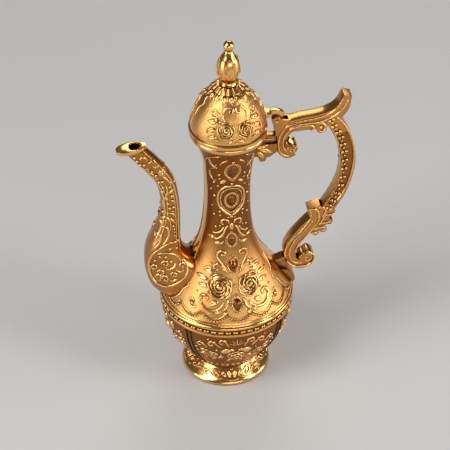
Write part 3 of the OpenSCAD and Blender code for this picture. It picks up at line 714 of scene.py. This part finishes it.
# %% Neck column
def neck_column():
    bm = bmesh.new()
    gem(bm, 0.2, 22.4, 4.6, 7.2, point=-0.7, r=0.48)
    ring = [(0, 11.2), (-2.6, 10.8), (-4.6, 9.8), (-7.2, 6.2), (-8.2, 1.0), (-7.4, -3.8),
            (-4.6, -7.4), (0, -10.4), (4.6, -7.4), (7.4, -3.8), (8.2, 1.0), (7.2, 6.2),
            (4.6, 9.8), (2.6, 10.8), (0, 11.2)]
    stroke(bm, ring, w=0.85, tip=1.0, sides=8)
    # Painted shade: a dark floor inside the big ring.
    bed(bm, 0, 0.6, 6.9, 8.6, 0.2)
    milgrain(bm, [(x * 0.8, y * 0.82) for x, y in ring], r=0.5, gap=1.05)
    gem(bm, 0, 0.3, 4.0, 5.6, r=0.42)
    gem(bm, 0, -28.2, 3.5, 5.4, point=0.7, r=0.44)
    for s in (-1, 1):
        def draw(keys, **how):
            stroke(bm, both_ways(keys, s), **how)
        draw([(14.6, 32.2), (13.6, 28.6), (11.6, 26.0), (8.8, 24.6)], w=0.75)
        draw([(14.0, 20.6), (13.6, 17.6), (11.8, 15.0), (9.4, 14.2)], w=0.7)
        draw([(9.6, 28.4), (11.0, 24.4), (13.4, 22.2)], w=0.6)
        draw([(3.4, 33.2), (6.2, 31.0), (7.4, 27.6)], w=0.65)
        leaf(bm, s * 5.6, 14.2, 4.8, 2.2, 90 - s * 124)
        draw([(1.4, -17.2), (2.0, -14.8), (4.0, -13.9), (5.8, -15.2), (5.6, -17.2),
              (4.4, -17.4)], w=0.75)
        draw([(2.0, -18.2), (3.6, -20.6), (5.0, -24.4), (7.8, -27.6), (10.8, -29.0)], w=0.8)
        draw([(4.4, -19.2), (6.2, -22.4), (9.2, -24.4), (12.0, -24.4)], w=0.65)
        leaf(bm, s * 8.0, -30.8, 6.0, 2.2, 90 - s * 96)
        leaf(bm, s * 11.8, -27.6, 5.0, 2.0, 90 - s * 84)
        for k in range(4):
            bead(bm, s * (4.9 + 0.9 * k), -29.6 - 0.7 * k, 0.42)
            bead(bm, s * (5.0 + 0.7 * k), -26.0 - 0.6 * k, 0.42)
        for x, y, r in ((10.0, 2.7, 1.0), (6.8, -8.4, 0.8), (10.2, -11.1, 0.85),
                        (6.6, -11.2, 0.6), (7.6, 19.8, 0.8), (7.2, 16.6, 0.6),
                        (10.6, 12.8, 0.8), (8.0, 10.6, 0.65), (12.6, 6.4, 0.6),
                        (9.4, -19.8, 0.8), (6.8, -18.6, 0.6), (13.6, -27.6, 0.7),
                        (1.8, -12.2, 0.6), (11.6, -5.2, 0.6)):
            bead(bm, s * x, y, r)
    bead(bm, 0, -11.6, 0.9)
    bead(bm, 0, 13.0, 0.8)
    bead(bm, 0, 31.6, 0.9)
    leaf(bm, 0, -19.0, 5.4, 2.6, 90)
    return bm

settle(lay_around(body_skin, neck_column(), 137, (0, 180), right=0.3), "neck_columns")

# %% [markdown]
# ## The lid's ornament
# Two C-scrolls face each other like an open omega over two roses, with leaves
# to the sides. The matte field is bounded by a scalloped line.

# %% Lid ornament
def lid_spray():
    bm = bmesh.new()
    rose(bm, -5.7, -2.6, 5.3, 0.2)
    rose(bm, 5.8, -3.0, 5.2, 0.9)
    for s in (-1, 1):
        def draw(keys, **how):
            stroke(bm, both_ways(keys, s), **how)
        draw([(5.6, 1.8), (6.9, 4.4), (6.6, 7.6), (4.9, 10.2), (2.8, 10.9), (1.0, 10.0),
              (0.8, 8.3), (2.2, 7.4), (3.4, 8.4)], w=0.8)
        bead(bm, s * 2.6, 8.9, 0.7)
        draw([(9.0, 7.0), (11.2, 8.3), (13.5, 6.6), (12.9, 4.5), (10.8, 4.3), (10.4, 5.8),
              (11.6, 6.3)], w=0.7)
        leaf(bm, s * 13.6, 1.6, 7.0, 3.2, 90 - s * 100)
        leaf(bm, s * 14.8, -3.2, 6.6, 2.9, 90 - s * 108)
        leaf(bm, s * 14.2, -7.6, 6.4, 2.7, 90 - s * 106)
        leaf(bm, s * 10.4, 2.8, 4.4, 2.2, 90 - s * 60)
        leaf(bm, s * 3.0, -9.4, 4.6, 2.0, 90 - s * 118)
        for x, y, r in ((8.9, 0.2, 0.65), (11.4, -1.2, 0.6), (10.8, -8.6, 0.65),
                        (1.0, 0.8, 0.6), (17.4, -5.4, 0.6)):
            bead(bm, s * x, y, r)
    bead(bm, 0, -7.4, 0.7)
    bead(bm, 0, -10.2, 0.6)
    return bm

lid_work = lay_around(lid_skin, lid_spray(), 195, (0, 180), right=1.2)
for angle in (0, 180):
    for s in (-1, 1):
        edge = bmesh.new()
        stroke(edge, both_ways([(10.0, 17.0), (14.0, 13.8), (16.8, 12.6), (18.4, 10.4),
                                (19.4, 8.0), (22.0, 6.2), (25.2, 3.2), (26.6, 0.4),
                                (29.4, -2.4), (30.6, -5.4), (31.2, -9.4)], s),
               w=0.6, tip=0.7, sides=6)
        lid_skin.lay(edge, 195, angle)
        add_to(lid_work, edge)
settle(lid_work, "lid_sprays", body="lid")

# %% [markdown]
# ## The pleated collar and the finial
# Pleats like small petals hang below the finial all round. The finial's bulb
# carries four beaded drops.

# %% Pleats and the finial's drops
pleat = bmesh.new()
leaf(pleat, 0, -2.2, 5.6, 2.9, -90, tall=0.75)
stroke(pleat, [(1.75, 0.8), (1.8, -1.6), (1.9, -3.2)], w=0.3, sides=6)
settle(lay_around(lid_skin, pleat, 208.4, [22.5 * k for k in range(16)]),
       "finial_pleats", body="lid")

drop = bmesh.new()
gem(drop, 0, 1.8, 2.8, 5.8, point=0.7, r=0.46, rim=0.3, dark=False)
settle(lay_around(finial_skin, drop, 222.6, (0, 90, 180, 270)),
       "finial_drops", body="lid")

# %% [markdown]
# ## Belt and bowl
# The groove of the belt holds a row of small round beads. The bowl has four
# panels between pairs of ribs, and each panel has a rose under wing-like leaves
# among scrolls, over a line of beads.

# %% Belt beads
belt = bmesh.new()
for k in range(114):
    a = 2 * math.pi * (k + (0.16 if k % 2 else -0.16)) / 114
    bmesh.ops.create_uvsphere(belt, u_segments=8, v_segments=6, radius=0.0009,
                              matrix=Matrix.Translation((0.0398 * math.sin(a),
                                                         -0.0398 * math.cos(a), 0.0566)))
settle(belt, "belt_beads")

# %% Bowl panels
def bowl_panel():
    bm = bmesh.new()
    rose(bm, 0, -4.6, 5.4, 0.3)
    rose(bm, -14.2, -3.6, 3.9, 0.9)
    rose(bm, 14.2, -3.6, 3.9, 0.5)
    for k in range(5):
        a = math.radians(-60 + 30 * k)
        for j in range(4):
            bead(bm, math.sin(a) * (1.4 + 1.1 * j), 7.4 + math.cos(a) * (1.4 + 1.1 * j), 0.42)
    for s in (-1, 1):
        def draw(keys, **how):
            stroke(bm, both_ways(keys, s), **how)
        draw([(1.0, 1.8), (3.8, 3.4), (7.0, 2.8), (9.8, 0.6)], w=0.95)
        leaf(bm, s * 6.2, 0.6, 6.6, 2.8, 90 - s * 106)
        draw([(4.4, 6.2), (6.0, 9.4), (7.4, 12.2), (9.6, 12.6), (10.6, 10.6), (9.2, 9.2),
              (8.2, 10.2)], w=0.85)
        draw([(9.4, 5.0), (12.0, 8.0), (14.4, 10.6), (16.8, 10.0), (17.0, 7.6), (15.2, 7.0),
              (14.6, 8.4)], w=0.85)
        draw([(17.6, 3.6), (20.0, 6.6), (22.4, 8.4), (24.4, 7.0), (23.6, 5.0), (21.8, 5.4)],
             w=0.75)
        leaf(bm, s * 19.8, 0.4, 5.8, 2.6, 90 - s * 76)
        leaf(bm, s * 20.2, -4.0, 5.8, 2.4, 90 - s * 104)
        leaf(bm, s * 9.2, -7.0, 5.0, 2.4, 90 - s * 130)
        leaf(bm, s * 12.6, -9.4, 5.0, 2.2, 90 - s * 150)
        leaf(bm, s * 3.6, -11.4, 5.0, 2.0, 90 - s * 150)
        for x, y, r in ((12.0, 2.8, 0.7), (17.6, 12.6, 0.7), (24.8, 2.6, 0.8),
                        (23.8, -1.4, 0.7), (9.0, -3.4, 0.6), (17.4, -8.2, 0.7)):
            bead(bm, s * x, y, r)
    return bm

settle(lay_around(bowl_skin, bowl_panel(), 38.0, (0, 90, 180, 270)), "bowl_panels")
row = bmesh.new()
for k in range(49):
    bead(row, (2 * math.pi * (k - 24) / 49) * 24.9, 0, 0.78)
bowl_skin.lay(row, 18.6, 0)
settle(row, "bowl_bead_line")

# %% [markdown]
# ## The foot
# Each of the foot's four panels has a shell of four lobes between two scrolls,
# and fine seams part the panels.

# %% Foot ornament
shell = bmesh.new()
for x, lean, size in ((-4.9, 118, 4.6), (-1.7, 98, 5.6), (1.7, 82, 5.6), (4.9, 62, 4.6)):
    leaf(shell, x, 0.9, size, 3.0, lean + 180, tall=1.2)
for s in (-1, 1):
    stroke(shell, both_ways([(7.2, 1.6), (9.4, 3.4), (11.8, 2.4), (11.4, 0.0), (9.4, -0.6),
                             (8.8, 0.8), (10.0, 1.4)], s), w=0.8)
    stroke(shell, both_ways([(11.6, -1.2), (14.6, 1.4), (17.4, 1.0), (17.2, -0.8), (15.6, -0.8)],
                            s), w=0.7)
    bead(shell, s * 7.0, -2.0, 0.65)
    bead(shell, s * 19.6, 0.4, 0.7)
    bead(shell, s * 14.0, 3.0, 0.6)
bead(shell, 0, 3.9, 0.8)
stroke(shell, [(-4.2, -2.6), (0, -3.2), (4.2, -2.6)], w=0.6)
foot_work = lay_around(foot_skin, shell, 5.4, (0, 90, 180, 270))
seam = bmesh.new()
for off in (-0.6, 0.6):
    stroke(seam, [(off, -3.4), (off, 0), (off, 3.6)], w=0.4, tip=0.8, sides=6)
add_to(foot_work, lay_around(foot_skin, seam, 5.0, (45, 135, 225, 315)))
settle(foot_work, "foot_shells")

# %% [markdown]
# ## Working on the cast sides
# The spout and handle are flat-sided castings. Their ornament is drawn in the
# side view, in millimetres from the pot's axis and its foot, and is pressed
# against the casting by shooting a ray at it from the side. The far side gets a
# mirrored copy.

# %% Pressing onto a side
SLIDE_STEP = 0.3
SLIDE_RINGS = 11
EIGHTHS = [i * math.pi / 4 for i in range(8)]
SEARCH = [(0.0, 0.0)] + [(SLIDE_STEP * k * math.cos(a), SLIDE_STEP * k * math.sin(a))
                         for k in range(1, SLIDE_RINGS + 1) for a in EIGHTHS]
OUTSIDE = 0.06

def press(bm, nodes, rise=0.0, shy=1.3):
    """Moves a flat side drawing (x, z height up, y outwards) onto the near side.
    A point past the casting's edge slides in to the nearest metal."""
    graph = bpy.context.evaluated_depsgraph_get()
    trees = [BVHTree.FromObject(parts[n], graph) for n in nodes]
    slid = 0
    for v in bm.verts:
        x, z, out = v.co.x, v.co.y, v.co.z
        best = None
        for dx, dz in SEARCH:
            for tree in trees:
                hit, normal, _, _ = tree.ray_cast(
                    Vector(((x + dx) * MM, -OUTSIDE, (z + dz) * MM)), Vector((0, 1, 0)), OUTSIDE)
                if hit is None or hit.y >= -shy * MM:
                    continue
                if best is None or hit.y < best[0].y:
                    best = (hit, normal)
            if best:
                break
        slid += bool(dx or dz)
        hit, normal = best
        lean = Vector((normal.x, min(normal.y, -0.5), normal.z)).normalized()
        v.co = hit + lean * (out + rise) * MM
    return slid

def with_far_side(bm):
    other = bm.copy()
    bmesh.ops.scale(other, vec=(1, -1, 1), verts=other.verts)
    bmesh.ops.reverse_faces(other, faces=other.faces)
    add_to(bm, other)

print("side press ready")

# %% [markdown]
# ## The spout's vine
# A scrolled roundel fills the swelling root, and a vine with curls and beads
# climbs the side between two ridges. The points of ROOT and SCROLLS were written
# from another program's printout in millimetres, so they are data more than
# design: they don't follow the casting if its shape is changed.

# %% Spout vine
vine = bmesh.new()
ROOT = [(-35.6, 105.9), (-41.0, 102.9), (-45.8, 98.0), (-48.0, 91.0), (-47.6, 84.0),
        (-44.8, 78.2), (-40.0, 75.8), (-35.0, 76.4), (-30.0, 79.2), (-26.2, 83.6),
        (-25.6, 88.6), (-28.0, 93.0)]
SCROLLS = (
    (ROOT, 0.8),
    ([(-43.4, 98.6), (-38.6, 99.6), (-33.4, 97.8), (-30.4, 94.2), (-29.6, 91.0)], 0.7),
    ([(-46.6, 100.2), (-43.2, 104.0), (-41.4, 107.0), (-40.9, 110.0), (-41.8, 111.8),
      (-43.6, 110.6), (-43.6, 109.0)], 0.8),
    ([(-35.6, 105.8), (-32.8, 106.2), (-30.6, 105.0)], 0.8),
    ([(-40.0, 104.6), (-37.8, 107.4), (-36.2, 110.6), (-36.1, 113.9), (-37.4, 116.6),
      (-39.6, 116.6), (-40.0, 114.6)], 0.8),
    ([(-36.2, 112.0), (-34.6, 117.6), (-35.4, 121.4), (-37.6, 123.4), (-40.0, 121.4),
      (-40.2, 119.0), (-38.6, 118.6)], 0.75),
    ([(-35.2, 122.8), (-33.2, 120.4), (-31.4, 118.2)], 0.7),
    ([(-47.2, 86.4), (-46.8, 89.4), (-45.2, 90.9), (-43.8, 89.6), (-44.6, 87.6)], 0.75),
    ([(-41.3, 90.6), (-40.4, 93.2), (-38.2, 93.6), (-37.2, 91.6), (-38.6, 90.6)], 0.75),
    ([(-38.6, 89.0), (-36.2, 87.9), (-33.4, 89.6), (-33.0, 92.0)], 0.8),
    ([(-32.4, 87.5), (-30.2, 85.8), (-28.0, 86.9)], 0.8),
    ([(-30.6, 88.8), (-29.5, 90.9), (-27.4, 90.2), (-27.2, 88.6)], 0.7),
    ([(-36.2, 83.4), (-35.1, 85.5), (-33.0, 85.4), (-32.4, 83.6), (-33.6, 82.8)], 0.75),
    ([(-36.8, 81.0), (-34.6, 79.8), (-32.2, 81.2)], 0.75),
    ([(-45.2, 81.0), (-44.0, 83.8), (-42.2, 84.2), (-41.6, 81.8), (-42.9, 79.0)], 0.75),
    ([(-41.0, 81.0), (-40.4, 83.4), (-38.6, 83.4), (-37.7, 80.8), (-39.0, 78.6)], 0.75),
    ([(-44.4, 86.0), (-41.6, 87.6), (-39.8, 86.0), (-40.8, 84.8)], 0.65),
    ([(-51.9, 166.6), (-50.3, 168.3), (-48.2, 167.2), (-47.3, 165.0)], 0.7),
    ([(-44.2, 161.6), (-42.6, 160.2), (-40.9, 161.6)], 0.7),
    ([(-38.8, 153.6), (-36.5, 150.9), (-34.3, 148.3), (-32.6, 147.0), (-32.0, 148.6)], 0.75),
    ([(-47.6, 160.4), (-46.2, 156.8), (-43.6, 154.8)], 0.6),
    ([(-37.1, 146.1), (-36.1, 143.3), (-36.7, 139.4), (-38.2, 134.9), (-38.0, 130.1),
      (-36.9, 125.2)], 0.8),
    ([(-38.4, 134.8), (-37.3, 137.0), (-35.9, 136.2)], 0.7),
    ([(-36.4, 141.0), (-34.0, 141.6), (-32.4, 143.6)], 0.65),
    ([(-36.9, 126.0), (-34.2, 126.2), (-32.0, 124.4), (-31.6, 122.0)], 0.65))
for keys, w in SCROLLS:
    stroke(vine, keys, w=w, m=4)
def edge_of(tree, z, side):
    """Where a casting's side outline is at height z, on its -x or +x side."""
    for k in range(200):
        x = (-66 + 0.25 * k) if side < 0 else (-16 - 0.25 * k)
        if tree.ray_cast(Vector((x * MM, -0.06, z * MM)), Vector((0, 1, 0)), 0.06)[0]:
            return x
    return None

casting = BVHTree.FromObject(parts["spout_near_half"], bpy.context.evaluated_depsgraph_get())
for side, low, high in ((-1, 106, 166), (1, 100, 168)):
    found = [(edge_of(casting, z, side), z) for z in range(low, high, 6)]
    print("spout edge", side, [round(x, 1) for x, z in found])
    for inset, w in ((1.7, 0.6), (3.2, 0.42)):
        stroke(vine, [(x - side * inset, z) for x, z in found], w=w, tip=0.8, m=3)
leaf(vine, -38.6, 156.2, 6.0, 4.6, 40, tall=0.8)
for x, z, r in ((-39.3, 120.2, 0.8), (-37.4, 121.0, 0.7), (-33.0, 116.9, 0.75),
                (-32.5, 114.7, 0.7), (-32.5, 112.6, 0.65), (-32.6, 110.6, 0.6),
                (-35.7, 102.2, 0.85), (-31.7, 101.6, 0.8), (-30.9, 106.4, 0.8),
                (-44.6, 94.2, 0.8), (-41.8, 97.2, 0.85), (-38.4, 96.6, 0.8),
                (-35.4, 93.2, 0.85), (-45.6, 88.2, 0.75), (-39.4, 91.8, 0.75),
                (-39.4, 80.8, 0.75), (-34.2, 83.6, 0.65), (-28.6, 89.0, 0.6),
                (-54.6, 168.4, 0.85), (-53.2, 165.8, 0.85), (-51.6, 162.6, 0.9),
                (-49.1, 162.9, 0.85), (-46.2, 164.2, 0.8), (-44.8, 157.6, 0.8),
                (-42.6, 154.6, 0.85), (-40.7, 149.4, 0.9), (-38.9, 149.6, 0.85),
                (-38.6, 145.4, 0.85), (-38.8, 142.0, 0.8), (-33.4, 138.6, 0.9),
                (-33.2, 135.2, 0.85), (-35.9, 133.2, 0.85), (-34.9, 130.0, 0.9),
                (-32.9, 130.4, 0.8), (-33.2, 127.6, 0.75), (-38.6, 126.8, 0.8),
                (-34.6, 145.2, 0.7), (-41.2, 160.6, 0.7)):
    bead(vine, x, z, r)
slid = press(vine, ["spout_near_half"])
with_far_side(vine)
print("spout: points slid in from the edge", slid)
settle(vine, "spout_vines")

# %% [markdown]
# ## The handle's beads, rims and leaves
# The bow has a sunk channel between two rims, with pairs of round beads along
# it. The scrolls and leaves are fluted: ridges run side by side along them and
# end in curls, as on carved woodwork.

# %% Handle beads
PAIRS = [(59.6, 181.2), (61.4, 176.8), (64.0, 172.2), (66.0, 167.4), (67.4, 162.2),
         (68.4, 156.8), (68.9, 150.6), (68.8, 144.4), (68.2, 138.2), (67.2, 132.0),
         (65.6, 126.0), (63.4, 120.4), (60.6, 115.4)]
beads = bmesh.new()
line = smooth_path(PAIRS, 4)
for i, (x, z) in enumerate(line):
    a, b = line[max(i - 1, 0)], line[min(i + 1, len(line) - 1)]
    along = Vector((b[0] - a[0], b[1] - a[1])).normalized()
    if i % 4 == 0:
        for off in (-1.15, 1.15):
            bead(beads, x - along.y * off, z + along.x * off, 1.0, lift=0.3)
    elif i % 4 == 2:
        bead(beads, x, z, 0.75, lift=0.2)
press(beads, ["handle"])
with_far_side(beads)
settle(beads, "handle_beads")

# %% Handle flutes and leaves
veins = bmesh.new()
for keys, w in (
        ([(33.0, 182.0), (38.0, 182.0), (44.1, 182.8), (53.8, 184.2), (59.8, 186.8),
          (63.4, 190.4), (66.0, 195.6)], 0.6),
        ([(35.0, 178.6), (42.3, 180.2), (48.8, 180.4), (55.0, 181.4), (61.6, 184.2),
          (66.4, 189.0), (69.0, 194.4)], 0.75),
        ([(48.8, 178.6), (42.3, 179.0), (36.5, 177.8), (33.6, 174.6), (31.8, 170.1),
          (32.0, 165.0), (34.4, 160.8)], 0.75),
        ([(40.0, 181.0), (34.0, 179.6), (30.6, 175.2), (29.2, 169.6), (29.4, 163.6),
          (31.6, 159.4), (35.6, 157.8)], 0.75),
        ([(33.4, 164.4), (35.0, 166.6), (37.6, 167.0), (39.4, 165.0), (38.6, 162.6),
          (36.6, 162.6)], 0.8),
        ([(45.2, 179.2), (48.2, 178.6), (49.6, 176.6), (48.2, 175.2)], 0.8),
        ([(50.0, 179.6), (54.0, 179.9), (56.5, 177.0), (55.0, 173.6), (52.6, 174.4)], 0.85),
        ([(62.6, 183.0), (67.0, 177.6), (71.0, 170.0), (73.6, 161.4), (74.3, 151.7),
          (73.4, 141.6), (71.0, 131.4), (67.0, 122.4), (62.4, 115.6)], 0.7),
        ([(58.4, 178.0), (61.4, 172.2), (63.4, 166.4), (65.2, 157.6), (65.6, 148.6),
          (64.9, 139.6), (63.0, 130.6), (60.0, 122.6), (57.2, 117.6)], 0.65),
        ([(48.8, 115.6), (51.4, 116.2), (53.6, 114.7), (55.1, 111.3), (54.9, 107.0),
          (53.2, 102.9)], 0.85),
        ([(54.6, 116.6), (57.4, 116.4), (58.9, 113.6), (57.9, 108.4), (55.2, 102.6)], 0.85),
        ([(49.6, 114.9), (50.4, 112.0), (49.6, 108.2), (47.4, 104.2), (43.5, 98.6),
          (38.6, 93.2), (35.7, 87.6), (35.3, 82.0), (36.8, 76.6), (40.6, 72.6), (45.4, 72.2),
          (49.6, 72.6), (52.8, 75.4), (53.2, 79.2), (51.0, 81.8), (48.0, 82.8),
          (45.4, 81.2), (44.6, 78.6)], 0.8),
        ([(51.4, 106.6), (46.0, 99.4), (40.8, 92.9), (38.3, 86.9), (38.1, 80.7), (41.0, 75.6),
          (45.6, 74.3)], 0.7),
        ([(53.4, 103.4), (47.6, 94.8), (43.0, 89.0), (41.3, 83.8), (42.0, 79.4)], 0.65),
        ([(56.4, 109.6), (60.0, 110.6), (62.7, 110.6), (64.2, 111.4)], 0.75),
        ([(54.8, 104.0), (58.9, 104.6), (62.1, 105.2)], 0.75),
        ([(51.8, 100.0), (55.7, 101.2), (58.4, 101.2), (59.6, 99.6), (57.6, 98.2)], 0.75),
        ([(49.6, 97.4), (52.6, 97.6), (54.6, 96.2)], 0.65)):
    stroke(veins, keys, w=w, m=6)
bead(veins, 53.6, 176.8, 1.0, lift=0.1)
slid = press(veins, ["handle"])
with_far_side(veins)
print("handle: points slid in from the edge", slid)
settle(veins, "handle_veins")

# %% [markdown]
# ## The rolled ends of the scrolls
# Both scrolls of the handle end in a round volute as thick as the handle. A
# short drum with a softened rim rounds off each of them, and a raised line
# winds into its centre on both faces.

# %% Volutes
VOLUTES = ((48.9, 78.0, 4.4), (37.0, 162.4, 3.5))
VOLUTE_THICK = 0.0071
VOLUTE_EDGE = 0.0006
TURN_OUT = 0.0034
volutes = bmesh.new()
turns = bmesh.new()
for x, z, r in VOLUTES:
    lay_flat = Matrix.Translation((x * MM, 0, z * MM)) @ Matrix.Rotation(math.pi / 2, 4, "X")
    new = bmesh.ops.create_cone(volutes, cap_ends=True, segments=48, radius1=r * MM,
                                radius2=r * MM, depth=VOLUTE_THICK, matrix=lay_flat)["verts"]
    own = set(new)
    rim = [e for e in volutes.edges if own.issuperset(e.verts)
           and abs(e.calc_face_angle(0) - math.pi / 2) < 0.2]
    bmesh.ops.bevel(volutes, geom=rim, offset=VOLUTE_EDGE, segments=3, profile=0.5,
                    affect="EDGES", material=-1)
    stroke(turns, [(x + r * (0.84 - 0.075 * k) * math.cos(2.2 - 0.75 * k),
                    z + r * (0.84 - 0.075 * k) * math.sin(2.2 - 0.75 * k))
                   for k in range(10)], w=0.5, tip=0.6, m=3)
press(turns, ["handle"])
for v in turns.verts:
    v.co.y = min(v.co.y, -TURN_OUT)
with_far_side(turns)
add_to(volutes, turns)
settle(volutes, "handle_volutes")
print("volutes:", len(VOLUTES))

# %% [markdown]
# ## The bracket's leaves
# The bracket that ties the handle to the neck is cast as a small spray of
# leaves, under a raised line across its top.

# %% Bracket leaves
spray = bmesh.new()
lo, hi = [[c / MM for c in corner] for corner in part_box("neck_bracket")]
mid_x, mid_z = (lo[0] + hi[0]) / 2, (lo[2] + hi[2]) / 2
for dx, dz, length, width, lean in ((-2.4, 2.6, 8.0, 3.2, 12), (0.2, -0.6, 8.6, 3.2, -24),
                                    (-2.6, -3.4, 6.6, 2.8, -52)):
    leaf(spray, mid_x + dx, mid_z + dz, length, width, lean, tall=0.9)
stroke(spray, [(lo[0] + 2.2, hi[2] - 2.0), (mid_x, hi[2] - 1.7), (hi[0] - 1.6, hi[2] - 2.0)],
       w=0.6)
slid = press(spray, ["neck_bracket"])
with_far_side(spray)
print("bracket: points slid in from the edge", slid)
settle(spray, "bracket_leaves")

# %% [markdown]
# ## The floor
# The pot stands on a plain pale floor, which also lights it from below.

# %% Floor
floor_bm = bmesh.new()
bmesh.ops.create_grid(floor_bm, x_segments=1, y_segments=1, size=3.0)
floor_mesh = bpy.data.meshes.new("floor")
floor_bm.to_mesh(floor_mesh)
floor_bm.free()
floor = bpy.data.objects.new("floor", floor_mesh)
bpy.context.scene.collection.objects.link(floor)
stone = Finish("pale_floor")
grain = stone.noise(14, 5)
stone.set("Base Color", stone.mix(grain * 0.3, (0.66, 0.65, 0.63, 1), (0.58, 0.57, 0.55, 1)))
stone.set("Roughness", 0.7)
floor_mesh.materials.append(stone.mat)
print("floor at z = 0")
